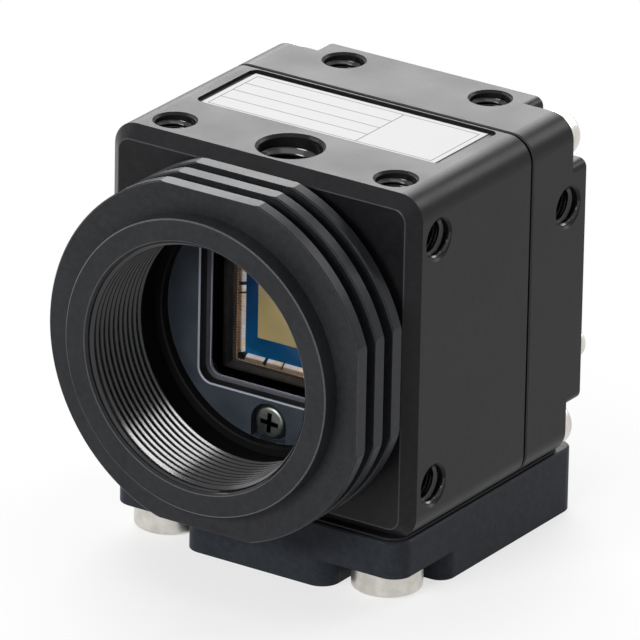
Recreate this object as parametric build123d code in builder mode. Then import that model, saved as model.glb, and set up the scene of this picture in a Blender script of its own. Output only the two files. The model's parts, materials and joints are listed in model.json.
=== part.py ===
from build123d import *
import os

# Industrial camera with a screw lens mount, on its mounting base.
# The frame: the origin is the centre of the flange face, where a lens seats.
# The lens side looks along -Y, the sensor looks back along the same axis, and +Z is up.
# All sizes are millimetres.

# Housing
body_corner_radius = 2.6
front_bevel = 1.25
front_edge_radius = 0.25
front_wall = 2.1
side_wall = 5.3
cavity_corner_radius = 1.0
front_housing_length = 20.5
seam_gap = 0.35
seam_inset = 0.6
seam_edge = 0.12

# Rear cover
rear_cover_length = 9.8
rear_wall = 2.5
notch_clearance = 0.15
notch_depth = 2.6
notch_inner_radius = 2.4
notch_edge_radius = 0.9

# Lens mount, its widths counted outwards from the thread
thread_radius = 12.7
entry_chamfer = 0.3
thread_relief = 0.3
thread_relief_length = 2.3
throat_step = 0.6
throat_edge = 0.15
flange_width = 2.5
ring_height = 2.0
ring_edge = 0.15
neck_step = 0.1
fin_count = 3
fin_depth = 3.2
fin_thickness = 1.5
fin_flat_depth = 0.9
fin_edge = 0.15
spigot_wall = 1.0
spigot_length = 1.0
spigot_clearance = 0.05

# Threaded holes for brackets and for the tripod, on the faces where the fins are flatted
hole_radius = 2.0
hole_chamfer = 0.25
hole_floor = 1.3
side_hole_depth = 3.0
front_hole_inset = 4.15
front_hole_side_inset = 5.1
rear_hole_inset = 3.25
rear_hole_side_inset = 9.38
rear_hole_top_inset = 9.34
tripod_radius = 3.175
tripod_chamfer = 0.3
tripod_floor = 0.3
tripod_inset = 5.1

# Label in its shallow recess, which runs from behind the tripod hole to a lip at the seam
recess_side_margin = 3.575
recess_front_margin = 1.125
recess_lip = 0.3
recess_depth = 0.3
recess_corner_radius = 0.9
recess_x = -0.075
label_side_gap = 0.775
label_end_gap = 0.35
label_thickness = 0.08
label_shift = -0.2

# Image sensor, from the light-sensitive array outwards, and its depth behind the flange
sensor_depth = 17.526
array_width = 8.45
array_height = 7.07
array_thickness = 0.05
die_side_border = 1.575
die_end_border = 2.065
die_thickness = 0.42
die_clearance = 0.5
ledge_side_width = 0.65
ledge_end_width = 0.4
package_lead = 1.626
package_thickness = 2.9
package_ledge = 1.3
package_side_wall = 1.75
package_end_wall = 1.9
bond_strip_width = 0.4
bond_strip_thickness = 0.12

# Protective glass and its gasket
glass_recess = 1.4
glass_thickness = 1.0
glass_clearance = 0.08
glass_bevel = 0.35
gasket_thickness = 0.4
gasket_side_border = 1.35
gasket_end_border = 1.1

# Inner plate in front of the sensor, with its two screws above and below the window
window_corner_radius = 1.5
window_edge = 0.15
plate_clearance = 0.1
plate_package_gap = 0.3
plate_side_border = 4.3
plate_edge = 2.4
plate_screw_margin = 2.6
plate_screw_radius = 0.9
plate_screw_head_radius = 1.7
plate_screw_head_height = 1.0
plate_screw_head_dome = 0.5
plate_screw_clearance = 0.1
plate_pocket_clearance = 0.35
plate_pocket_depth = 1.1
plate_pocket_skirt = 1.7
plate_spacer_radius = 1.45

# Circuit boards and what stacks them
board_clearance = 0.2
board_thickness = 1.2
board_corner_radius = 1.0
sensor_board_gap = 4.0
processor_board_gap = 3.8
post_radius = 1.75
post_wall_gap = 0.25
post_stud_radius = 0.75
post_stud_length = 1.6
post_stud_clearance = 0.05
post_seat_depth = 1.0
post_bore_depth = 2.2
board_hole_radius = 0.9
board_screw_head_radius = 1.5
board_screw_head_height = 1.0
stack_connector_width = 14.0
stack_connector_height = 3.6
stack_connector_z = 6.5
processor_size = 11.0
processor_thickness = 1.2
processor_z = -2.0
memory_width = 6.0
memory_height = 5.0
memory_thickness = 0.9
memory_x = 6.0
memory_z = -6.0

# Wide cable connector low in the rear wall, between the board screws, with its jack posts
connector_side_gap = 0.3
connector_bottom_gap = 1.85
connector_height = 6.6
connector_angle = 78.0
connector_corner_radius = 0.9
connector_proud = 0.7
connector_clearance = 0.15
connector_body_sink = 0.9
connector_body_clearance = 0.05
shell_thickness = 0.4
contact_slot_margin = 1.6
contact_slot_height = 3.6
contact_slot_depth = 5.0
tongue_margin = 0.6
tongue_sink = 0.5
tongue_height = 1.4
contact_pitch = 1.0
contact_width = 0.4
contact_thickness = 0.2
contact_inset = 0.6
jack_inset = 2.15
jack_radius = 1.75
jack_height = 1.7
jack_dome = 0.5
jack_bore = 1.1
jack_bore_depth = 3.0
jack_stud_radius = 1.4
jack_stud_length = 4.0
jack_stud_clearance = 0.05

# Screws of the rear cover
cover_screw_side_gap = 0.15
cover_screw_radius = 1.45
cover_screw_clearance = 0.1
cover_screw_head_radius = 2.45
cover_screw_head_height = 1.9
cover_screw_head_dome = 0.6
cover_screw_engagement = 6.0
cover_screw_tap_clearance = 0.05

# Mounting base under the housing, and the thin sheet between them
sheet_thickness = 0.2
sheet_inset = 0.5
base_inset = 1.0
base_corner_radius = 2.0
base_rear_overhang = 1.25
base_edge = 0.2
ear_thickness = 3.85
ear_side_gap = 0.7
ear_corner_gap = 0.35
foot_corner_radius = 1.6
nose_corner_radius = 2.0
base_hole_clearance = 0.2
base_pocket_gap = 0.45
base_screw_head_radius = 3.55
base_screw_head_height = 2.65
base_screw_head_sink = 0.25
base_screw_head_edge = 0.3
base_screw_socket = 1.25
base_screw_socket_depth = 1.5
base_screw_end_gap = 0.8
base_screw_core_radius = 1.6
base_screw_tap_clearance = 0.05
base_tripod_inset = 11.0
base_tripod_depth = 5.5
base_fixing_x = 6.0
base_fixing_inset = 3.0
base_fixing_spacing = 16.0
base_fixing_depth = 5.0

# Widths and heights, from the sensor outwards to the housing
die_width = array_width + 2 * die_side_border
die_height = array_height + 2 * die_end_border
die_pocket_width = die_width + 2 * die_clearance
die_pocket_height = die_height + 2 * die_clearance
sensor_opening_width = die_pocket_width + 2 * ledge_side_width
sensor_opening_height = die_pocket_height + 2 * ledge_end_width
package_width = sensor_opening_width + 2 * package_side_wall
package_height = sensor_opening_height + 2 * package_end_wall
window_width = sensor_opening_width + 2 * gasket_side_border
window_height = sensor_opening_height + 2 * gasket_end_border
plate_screw_z = window_height / 2 + plate_screw_margin
plate_width = window_width + 2 * plate_side_border
plate_height = 2 * (plate_screw_z + plate_edge)
cavity_width = plate_width + 2 * plate_clearance
cavity_height = plate_height + 2 * plate_clearance
board_width = cavity_width - 2 * board_clearance
board_height = cavity_height - 2 * board_clearance
body_width = cavity_width + 2 * side_wall
body_height = cavity_height + 2 * side_wall
body_side = body_width / 2
body_top = body_height / 2

# Places along the lens axis, from the sensor forwards to the housing's front
package_front_y = sensor_depth - package_lead
glass_back_y = package_front_y - gasket_thickness
glass_front_y = glass_back_y - glass_thickness
cavity_front_y = glass_front_y - glass_recess
front_face_y = cavity_front_y - front_wall
plate_back_y = package_front_y - plate_package_gap
fin_pitch = (front_face_y - ring_height) / fin_count
spigot_end_y = front_face_y + spigot_length
thread_end_y = spigot_end_y - thread_relief_length

# Places along the lens axis, backwards
ledge_y = package_front_y + package_ledge
package_back_y = package_front_y + package_thickness
die_front_y = sensor_depth + array_thickness
die_back_y = die_front_y + die_thickness
sensor_board_back_y = package_back_y + board_thickness
processor_board_y = sensor_board_back_y + sensor_board_gap
processor_board_back_y = processor_board_y + board_thickness
interface_board_y = processor_board_back_y + processor_board_gap
interface_board_back_y = interface_board_y + board_thickness
seam_y = front_face_y + front_housing_length
cover_front_y = seam_y + seam_gap
rear_face_y = cover_front_y + rear_cover_length
notch_floor_y = rear_face_y - notch_depth
connector_end_y = rear_face_y + connector_proud
insulator_end_y = connector_end_y - connector_body_sink

# Radii of the lens mount
ring_radius = thread_radius + flange_width
neck_radius = ring_radius + neck_step
fin_radius = neck_radius + fin_depth
fin_flat = fin_radius - fin_flat_depth
relief_radius = thread_radius + thread_relief
throat_radius = thread_radius - throat_step
spigot_radius = relief_radius + spigot_wall

# Threaded holes and the label's recess
hole_depth = side_wall - hole_floor
tripod_depth = side_wall - tripod_floor
front_hole_x = body_side - front_hole_side_inset
front_hole_y = front_face_y + front_hole_inset
front_hole_z = body_top - front_hole_side_inset
rear_hole_x = body_side - rear_hole_side_inset
rear_hole_y = rear_face_y - rear_hole_inset
rear_hole_z = body_top - rear_hole_top_inset
tripod_y = front_face_y + tripod_inset
recess_front_y = tripod_y + tripod_radius + tripod_chamfer + recess_front_margin
recess_width = body_width - 2 * recess_side_margin
recess_length = seam_y - recess_lip - recess_front_y
recess_y = recess_front_y + recess_length / 2

# Posts, screws, notches and the connector
post_inset = post_radius + post_wall_gap
post_x = cavity_width / 2 - post_inset
post_z = cavity_height / 2 - post_inset
cover_screw_inset = cover_screw_head_radius + cover_screw_side_gap
notch_width = cover_screw_inset + cover_screw_head_radius + notch_clearance
connector_width = 2 * (post_x - board_screw_head_radius - connector_side_gap)
connector_z = connector_bottom_gap + (connector_height - cavity_height) / 2
contact_slot_width = connector_width - 2 * contact_slot_margin
tongue_width = contact_slot_width - 2 * tongue_margin
contact_columns = round((tongue_width - contact_width) / contact_pitch)
jack_x = body_side - jack_inset

# Mounting base
base_width = body_width - 2 * base_inset
base_rear_y = rear_face_y + base_rear_overhang
base_length = base_rear_y - front_face_y
base_middle_y = (front_face_y + base_rear_y) / 2
sheet_length = rear_face_y - front_face_y - 2 * sheet_inset
sheet_middle_y = (front_face_y + rear_face_y) / 2
base_screw_engagement = hole_depth - base_screw_end_gap
foot_height = base_screw_head_height + base_screw_head_sink
base_top = -body_top - sheet_thickness
ear_bottom = base_top - ear_thickness
base_bottom = ear_bottom - foot_height
base_pocket_radius = base_screw_head_radius + base_pocket_gap
ear_inner_x = front_hole_x - base_screw_head_radius - ear_side_gap
ear_back_y = front_hole_y + base_pocket_radius
ear_inner_radius = base_screw_head_radius + ear_corner_gap
base_tripod_y = front_face_y + base_tripod_inset
base_fixing_y = front_face_y + base_fixing_inset

# Places that several pieces share, seen from the lens side or from above
corners = [(x, z) for x in (-1, 1) for z in (-1, 1)]
post_places = [(x * post_x, z * post_z) for x, z in corners]
cover_screw_places = [
    (x * (body_side - cover_screw_inset), z * (body_top - cover_screw_inset)) for x, z in corners
]
plate_screw_places = [(0, -plate_screw_z), (0, plate_screw_z)]
jack_places = [(-jack_x, connector_z), (jack_x, connector_z)]
front_screw_places = [(-front_hole_x, front_hole_y), (front_hole_x, front_hole_y)]
rear_screw_places = [(-rear_hole_x, rear_hole_y), (rear_hole_x, rear_hole_y)]
base_screw_places = front_screw_places + rear_screw_places
base_fixing_places = [
    (x * base_fixing_x, base_fixing_y + row * base_fixing_spacing) for x in (-1, 1) for row in (0, 1)
]


def across(y):
    """Drawing plane across the optical axis, at y behind the flange, seen from the lens side."""
    return Plane.XZ.offset(-y)


def on_top(x, y):
    """Place on the top face of the housing."""
    return Plane(origin=(x, y, body_top), x_dir=(1, 0, 0), z_dir=(0, 0, 1))


def on_bottom(x, y):
    """Place on the bottom face of the housing."""
    return Plane(origin=(x, y, -body_top), x_dir=(1, 0, 0), z_dir=(0, 0, -1))


def on_right(y, z):
    """Place on the right face of the housing."""
    return Plane(origin=(body_side, y, z), x_dir=(0, 1, 0), z_dir=(1, 0, 0))


def under_base(x, y):
    """Place on the underside of the mounting base."""
    return Plane(origin=(x, y, base_bottom), x_dir=(1, 0, 0), z_dir=(0, 0, -1))


def finish(piece, name):
    """Names the finished piece and writes its file."""
    piece.part.label = name
    export_step(piece.part, f"parts/{name}.step")


os.makedirs("parts", exist_ok=True)

# Outline of the cable connector, shared by its shell, its insulator and the opening in the cover
with BuildSketch() as connector_outline:
    Trapezoid(connector_width, connector_height, connector_angle)
    fillet(connector_outline.vertices(), connector_corner_radius)

# Lens mount: raised flange ring, flatted cooling fins, lens thread, relief and spigot
with BuildPart() as lens_mount:
    with BuildSketch(Plane.XY) as mount_profile:
        with BuildLine():
            outline = [
                (thread_radius + entry_chamfer, 0),
                (ring_radius - ring_edge, 0),
                (ring_radius, ring_edge),
                (ring_radius, ring_height),
            ]
            for index in range(fin_count):
                fin_front = ring_height + index * fin_pitch
                fin_back = fin_front + fin_thickness
                outline += [
                    (fin_radius - fin_edge, fin_front),
                    (fin_radius, fin_front + fin_edge),
                    (fin_radius, fin_back - fin_edge),
                    (fin_radius - fin_edge, fin_back),
                    (neck_radius, fin_back),
                    (neck_radius, fin_front + fin_pitch),
                ]
            outline += [
                (spigot_radius - spigot_clearance, front_face_y),
                (spigot_radius - spigot_clearance, spigot_end_y),
                (relief_radius, spigot_end_y),
                (relief_radius, thread_end_y),
                (thread_radius, thread_end_y),
                (thread_radius, entry_chamfer),
            ]
            Polyline(*outline, close=True)
        make_face()
    revolve(axis=Axis.Y)
    with BuildSketch(across(0)):
        with Locations((fin_flat, 0)):
            Rectangle(2 * fin_radius, 2 * fin_flat, align=(Align.MAX, Align.CENTER))
    extrude(amount=-spigot_end_y, mode=Mode.INTERSECT)
finish(lens_mount, "lens_mount")

# Front housing: bevelled block, hollow from behind, with the mount's seat and a throat in front
with BuildPart() as front_housing:
    with BuildSketch(across(front_face_y)):
        RectangleRounded(body_width, body_height, body_corner_radius)
    extrude(amount=-front_housing_length)
    front_edges = front_housing.faces().sort_by(Axis.Y)[0].edges()
    chamfer(front_edges, front_bevel)
    panel_edges = front_housing.faces().sort_by(Axis.Y)[0].edges()
    fillet(panel_edges, front_edge_radius)
    seam_edges = front_housing.faces().sort_by(Axis.Y)[-1].edges()
    chamfer(seam_edges, seam_edge)
    with BuildSketch(across(cavity_front_y)):
        RectangleRounded(cavity_width, cavity_height, cavity_corner_radius)
    extrude(amount=-(seam_y - cavity_front_y), mode=Mode.SUBTRACT)
    with BuildSketch(across(front_face_y)):
        Circle(spigot_radius)
    extrude(amount=-spigot_length, mode=Mode.SUBTRACT)
    with BuildSketch(across(spigot_end_y)):
        Circle(throat_radius)
    extrude(amount=-(cavity_front_y - spigot_end_y), mode=Mode.SUBTRACT)
    seat_floor = front_housing.faces().filter_by_position(Axis.Y, spigot_end_y, spigot_end_y)
    chamfer(seat_floor.edges().sort_by(SortBy.LENGTH)[0], throat_edge)
    with BuildSketch(Plane.XY.offset(body_top)):
        with Locations((recess_x, recess_y)):
            RectangleRounded(recess_width, recess_length, recess_corner_radius)
    extrude(amount=-recess_depth, mode=Mode.SUBTRACT)
    with Locations(*[on_top(*spot) for spot in front_screw_places]):
        CounterSinkHole(hole_radius, hole_radius + hole_chamfer, hole_depth, 90)
    with Locations(*[on_bottom(*spot) for spot in front_screw_places]):
        Hole(base_screw_core_radius + base_screw_tap_clearance, hole_depth)
    with Locations(on_right(front_hole_y, -front_hole_z), on_right(front_hole_y, front_hole_z)):
        CounterSinkHole(hole_radius, hole_radius + hole_chamfer, side_hole_depth, 90)
    with Locations(on_top(0, tripod_y)):
        CounterSinkHole(tripod_radius, tripod_radius + tripod_chamfer, tripod_depth, 90)
    with BuildSketch(across(seam_y)):
        with Locations(*cover_screw_places):
            Circle(cover_screw_radius + cover_screw_tap_clearance)
    extrude(amount=cover_screw_engagement, mode=Mode.SUBTRACT)
    with BuildSketch(across(cavity_front_y)):
        with Locations(*post_places):
            Circle(post_stud_radius + post_stud_clearance)
    extrude(amount=post_seat_depth, mode=Mode.SUBTRACT)
finish(front_housing, "front_housing")

# Thin gasket in the seam between the two halves of the housing
with BuildPart() as housing_gasket:
    with BuildSketch(across(seam_y)):
        RectangleRounded(
            body_width - 2 * seam_inset,
            body_height - 2 * seam_inset,
            body_corner_radius - seam_inset,
        )
        RectangleRounded(cavity_width, cavity_height, cavity_corner_radius, mode=Mode.SUBTRACT)
        with Locations(*cover_screw_places):
            Circle(cover_screw_radius + cover_screw_clearance, mode=Mode.SUBTRACT)
    extrude(amount=-seam_gap)
finish(housing_gasket, "housing_gasket")

# Rear cover: hollow from the front, notched at its four corners for the screw heads
with BuildPart() as rear_cover:
    with BuildSketch(across(cover_front_y)):
        RectangleRounded(body_width, body_height, body_corner_radius)
    extrude(amount=-rear_cover_length)
    chamfer(rear_cover.faces().sort_by(Axis.Y)[0].edges(), seam_edge)
    with BuildSketch(across(rear_face_y)) as corner_notches:
        with Locations(*[(x * body_side, z * body_top) for x, z in corners]):
            Rectangle(2 * notch_width, 2 * notch_width)
        inner = [v for v in corner_notches.vertices() if abs(v.X) < body_side and abs(v.Y) < body_top]
        fillet(inner, notch_inner_radius)
    extrude(amount=notch_depth, mode=Mode.SUBTRACT)
    notch_ends = [
        edge for edge in rear_cover.edges().filter_by(Axis.Y)
        if abs(abs(edge.center().X) - body_side + notch_width) < 0.01
        and abs(abs(edge.center().Z) - body_top) < 0.01
        or abs(abs(edge.center().Z) - body_top + notch_width) < 0.01
        and abs(abs(edge.center().X) - body_side) < 0.01
    ]
    fillet(notch_ends, notch_edge_radius)
    chamfer(rear_cover.faces().sort_by(Axis.Y)[-1].edges(), seam_edge)
    with BuildSketch(across(cover_front_y)):
        RectangleRounded(cavity_width, cavity_height, cavity_corner_radius)
    extrude(amount=-(rear_cover_length - rear_wall), mode=Mode.SUBTRACT)
    with BuildSketch(across(rear_face_y)):
        with Locations(*cover_screw_places):
            Circle(cover_screw_radius + cover_screw_clearance)
    extrude(amount=rear_cover_length, mode=Mode.SUBTRACT)
    with Locations(*[on_top(*spot) for spot in rear_screw_places]):
        CounterSinkHole(hole_radius, hole_radius + hole_chamfer, hole_depth, 90)
    with Locations(*[on_bottom(*spot) for spot in rear_screw_places]):
        Hole(base_screw_core_radius + base_screw_tap_clearance, hole_depth)
    with Locations(on_right(rear_hole_y, rear_hole_z)):
        CounterSinkHole(hole_radius, hole_radius + hole_chamfer, side_hole_depth, 90)
    with BuildSketch(across(rear_face_y)):
        with Locations((0, connector_z)):
            add(connector_outline.sketch)
        offset(amount=connector_clearance)
    extrude(amount=rear_wall, mode=Mode.SUBTRACT)
    with BuildSketch(across(rear_face_y)):
        with Locations(*jack_places):
            Circle(jack_stud_radius + jack_stud_clearance)
    extrude(amount=jack_stud_length, mode=Mode.SUBTRACT)
finish(rear_cover, "rear_cover")

# Four pan screws that hold the rear cover
with BuildPart() as rear_cover_screws:
    with BuildSketch(across(notch_floor_y)):
        with Locations(*cover_screw_places):
            Circle(cover_screw_head_radius)
    extrude(amount=-cover_screw_head_height)
    fillet(rear_cover_screws.edges().group_by(Axis.Y)[-1], cover_screw_head_dome)
    with BuildSketch(across(notch_floor_y)):
        with Locations(*cover_screw_places):
            Circle(cover_screw_radius)
    extrude(amount=notch_floor_y - seam_y + cover_screw_engagement)
finish(rear_cover_screws, "rear_cover_screws")

# Bare label plate in the top recess
with BuildPart() as label_plate:
    with BuildSketch(Plane.XY.offset(body_top - recess_depth)):
        with Locations((recess_x + label_shift, recess_y + label_shift)):
            Rectangle(recess_width - 2 * label_side_gap, recess_length - 2 * label_end_gap)
    extrude(amount=label_thickness)
finish(label_plate, "label_plate")

# Inner plate with its window, and a pocket for each of its two screws
with BuildPart() as sensor_plate:
    with BuildSketch(across(cavity_front_y)):
        RectangleRounded(plate_width, plate_height, cavity_corner_radius)
        RectangleRounded(window_width, window_height, window_corner_radius, mode=Mode.SUBTRACT)
    extrude(amount=-(plate_back_y - cavity_front_y))
    window_rim = sensor_plate.faces().sort_by(Axis.Y)[0].inner_wires()[0]
    chamfer(window_rim.edges(), window_edge)
    with BuildSketch(across(cavity_front_y)):
        with Locations(*post_places):
            Circle(post_stud_radius + post_stud_clearance)
    extrude(amount=-(plate_back_y - cavity_front_y), mode=Mode.SUBTRACT)
    with BuildSketch(across(cavity_front_y)):
        for side in (-1, 1):
            with Locations((0, side * plate_screw_z)):
                Circle(plate_screw_head_radius + plate_pocket_clearance)
                Rectangle(
                    2 * (plate_screw_head_radius + plate_pocket_clearance),
                    plate_pocket_skirt,
                    align=(Align.CENTER, Align.MIN if side > 0 else Align.MAX),
                )
    extrude(amount=-plate_pocket_depth, mode=Mode.SUBTRACT)
    with BuildSketch(across(cavity_front_y)):
        with Locations(*plate_screw_places):
            Circle(plate_screw_radius + plate_screw_clearance)
    extrude(amount=-(plate_back_y - cavity_front_y), mode=Mode.SUBTRACT)
finish(sensor_plate, "sensor_plate")

# Two small pan screws through the inner plate and into the sensor board
with BuildPart() as plate_screws:
    with BuildSketch(across(cavity_front_y + plate_pocket_depth)):
        with Locations(*plate_screw_places):
            Circle(plate_screw_head_radius)
    extrude(amount=plate_screw_head_height)
    fillet(plate_screws.edges().group_by(Axis.Y)[0], plate_screw_head_dome)
    with BuildSketch(across(cavity_front_y + plate_pocket_depth)):
        with Locations(*plate_screw_places):
            Circle(plate_screw_radius)
    extrude(amount=-(sensor_board_back_y - cavity_front_y - plate_pocket_depth))
finish(plate_screws, "plate_screws")

# Tubes on those screws that keep the plate off the sensor board
with BuildPart() as plate_spacers:
    with BuildSketch(across(plate_back_y)):
        with Locations(*plate_screw_places):
            Circle(plate_spacer_radius)
            Circle(plate_screw_radius + plate_screw_clearance, mode=Mode.SUBTRACT)
    extrude(amount=-(package_back_y - plate_back_y))
finish(plate_spacers, "plate_spacers")

# Protective glass with a bevelled rim, set into the window
with BuildPart() as protective_glass:
    with BuildSketch(across(glass_front_y)):
        RectangleRounded(
            window_width - 2 * glass_clearance,
            window_height - 2 * glass_clearance,
            window_corner_radius - glass_clearance,
        )
    extrude(amount=-glass_thickness)
    chamfer(protective_glass.faces().sort_by(Axis.Y)[0].edges(), glass_bevel)
finish(protective_glass, "protective_glass")

# Black gasket frame between the glass and the sensor package
with BuildPart() as glass_gasket:
    with BuildSketch(across(glass_back_y)):
        RectangleRounded(
            window_width - 2 * glass_clearance,
            window_height - 2 * glass_clearance,
            window_corner_radius - glass_clearance,
        )
        Rectangle(sensor_opening_width, sensor_opening_height, mode=Mode.SUBTRACT)
    extrude(amount=-gasket_thickness)
finish(glass_gasket, "glass_gasket")

# Ceramic package of the image sensor, stepped down to the die
with BuildPart() as sensor_package:
    with BuildSketch(across(package_front_y)):
        Rectangle(package_width, package_height)
    extrude(amount=-package_thickness)
    with BuildSketch(across(package_front_y)):
        Rectangle(sensor_opening_width, sensor_opening_height)
    extrude(amount=-package_ledge, mode=Mode.SUBTRACT)
    with BuildSketch(across(ledge_y)):
        Rectangle(die_pocket_width, die_pocket_height)
    extrude(amount=-(die_back_y - ledge_y), mode=Mode.SUBTRACT)
finish(sensor_package, "sensor_package")

# Gold bonding strips on the ledge round the die
with BuildPart() as bond_strips:
    with BuildSketch(across(ledge_y)):
        Rectangle(die_pocket_width + 2 * bond_strip_width, die_pocket_height + 2 * bond_strip_width)
        Rectangle(die_pocket_width, die_pocket_height, mode=Mode.SUBTRACT)
    extrude(amount=bond_strip_thickness)
finish(bond_strips, "bond_strips")

# Silicon die and the light-sensitive array on it
with BuildPart() as sensor_die:
    with BuildSketch(across(die_front_y)):
        Rectangle(die_width, die_height)
    extrude(amount=-die_thickness)
finish(sensor_die, "sensor_die")

with BuildPart() as pixel_array:
    with BuildSketch(across(sensor_depth)):
        Rectangle(array_width, array_height)
    extrude(amount=-array_thickness)
finish(pixel_array, "pixel_array")

# The three circuit boards, alike but for their places
board_fronts = {
    "sensor_board": package_back_y,
    "processor_board": processor_board_y,
    "interface_board": interface_board_y,
}
for board_name, board_y in board_fronts.items():
    with BuildPart() as board:
        with BuildSketch(across(board_y)):
            RectangleRounded(board_width, board_height, board_corner_radius)
            with Locations(*post_places):
                Circle(board_hole_radius, mode=Mode.SUBTRACT)
            if board_name == "sensor_board":
                with Locations(*plate_screw_places):
                    Circle(plate_screw_radius + plate_screw_clearance, mode=Mode.SUBTRACT)
        extrude(amount=-board_thickness)
    finish(board, board_name)

# Stacking posts: each has a bore behind and a threaded stud in front, through the board before it
post_runs = {
    "front_posts": (plate_back_y, package_back_y, plate_back_y - cavity_front_y + post_seat_depth),
    "middle_posts": (sensor_board_back_y, processor_board_y, board_thickness + post_stud_length),
    "rear_posts": (processor_board_back_y, interface_board_y, board_thickness + post_stud_length),
}
for post_name, (post_front, post_back, stud_length) in post_runs.items():
    with BuildPart() as posts:
        with BuildSketch(across(post_front)):
            with Locations(*post_places):
                RegularPolygon(post_radius, 6)
        extrude(amount=-(post_back - post_front))
        with BuildSketch(across(post_back)):
            with Locations(*post_places):
                Circle(post_stud_radius + post_stud_clearance)
        extrude(amount=post_bore_depth, mode=Mode.SUBTRACT)
        with BuildSketch(across(post_front)):
            with Locations(*post_places):
                Circle(post_stud_radius)
        extrude(amount=stud_length)
    finish(posts, post_name)

# Screws that close the stack behind the interface board
with BuildPart() as board_screws:
    with BuildSketch(across(interface_board_back_y)):
        with Locations(*post_places):
            Circle(board_screw_head_radius)
    extrude(amount=-board_screw_head_height)
    with BuildSketch(across(interface_board_back_y)):
        with Locations(*post_places):
            Circle(post_stud_radius)
    extrude(amount=board_thickness + post_stud_length)
finish(board_screws, "board_screws")

# Stacking connectors between the boards
stack_runs = {
    "front_stack_connector": (sensor_board_back_y, processor_board_y),
    "rear_stack_connector": (processor_board_back_y, interface_board_y),
}
for stack_name, (stack_front, stack_back) in stack_runs.items():
    with BuildPart() as stack_connector:
        with BuildSketch(across(stack_front)):
            with Locations((0, stack_connector_z)):
                Rectangle(stack_connector_width, stack_connector_height)
        extrude(amount=-(stack_back - stack_front))
    finish(stack_connector, stack_name)

# Image processor behind the processor board, and two memory chips in front of it
with BuildPart() as image_processor:
    with BuildSketch(across(processor_board_back_y)):
        with Locations((0, processor_z)):
            Rectangle(processor_size, processor_size)
    extrude(amount=-processor_thickness)
finish(image_processor, "image_processor")

with BuildPart() as memory_chips:
    with BuildSketch(across(processor_board_y)):
        with Locations((-memory_x, memory_z), (memory_x, memory_z)):
            Rectangle(memory_width, memory_height)
    extrude(amount=memory_thickness)
finish(memory_chips, "memory_chips")

# Cable connector: metal shell, insulator with its slot and tongue, and two rows of contacts
with BuildPart() as connector_shell:
    with BuildSketch(across(interface_board_back_y)):
        with Locations((0, connector_z)):
            add(connector_outline.sketch)
        offset(amount=-shell_thickness, mode=Mode.SUBTRACT)
    extrude(amount=-(connector_end_y - interface_board_back_y))
finish(connector_shell, "connector_shell")

with BuildPart() as connector_insulator:
    with BuildSketch(across(interface_board_back_y)):
        with Locations((0, connector_z)):
            add(connector_outline.sketch)
        offset(amount=-shell_thickness - connector_body_clearance)
    extrude(amount=-(insulator_end_y - interface_board_back_y))
    with BuildSketch(across(insulator_end_y)):
        with Locations((0, connector_z)):
            Rectangle(contact_slot_width, contact_slot_height)
    extrude(amount=contact_slot_depth, mode=Mode.SUBTRACT)
    with BuildSketch(across(insulator_end_y - contact_slot_depth)):
        with Locations((0, connector_z)):
            Rectangle(tongue_width, tongue_height)
    extrude(amount=-(contact_slot_depth - tongue_sink))
finish(connector_insulator, "connector_insulator")

with BuildPart() as connector_contacts:
    with BuildSketch(across(insulator_end_y - contact_slot_depth)):
        for side in (-1, 1):
            row_z = connector_z + side * (tongue_height + contact_thickness) / 2
            with Locations((0, row_z)):
                with GridLocations(contact_pitch, 1, contact_columns, 1):
                    Rectangle(contact_width, contact_thickness)
    extrude(amount=-(contact_slot_depth - tongue_sink - contact_inset))
finish(connector_contacts, "connector_contacts")

# Jack posts that a cable's plug screws into
with BuildPart() as jack_posts:
    with BuildSketch(across(rear_face_y)):
        with Locations(*jack_places):
            Circle(jack_radius)
    extrude(amount=-jack_height)
    fillet(jack_posts.edges().group_by(Axis.Y)[-1], jack_dome)
    with BuildSketch(across(rear_face_y + jack_height)):
        with Locations(*jack_places):
            Circle(jack_bore)
    extrude(amount=jack_bore_depth, mode=Mode.SUBTRACT)
    with BuildSketch(across(rear_face_y)):
        with Locations(*jack_places):
            Circle(jack_stud_radius)
            Circle(jack_bore, mode=Mode.SUBTRACT)
    extrude(amount=jack_stud_length)
finish(jack_posts, "jack_posts")

# Thin insulating sheet between the housing and the base
with BuildPart() as base_sheet:
    with BuildSketch(Plane.XY.offset(base_top)):
        with Locations((0, sheet_middle_y)):
            RectangleRounded(base_width - 2 * sheet_inset, sheet_length, base_corner_radius)
        with Locations(*base_screw_places):
            Circle(hole_radius + base_hole_clearance, mode=Mode.SUBTRACT)
    extrude(amount=sheet_thickness)
finish(base_sheet, "base_sheet")

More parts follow.
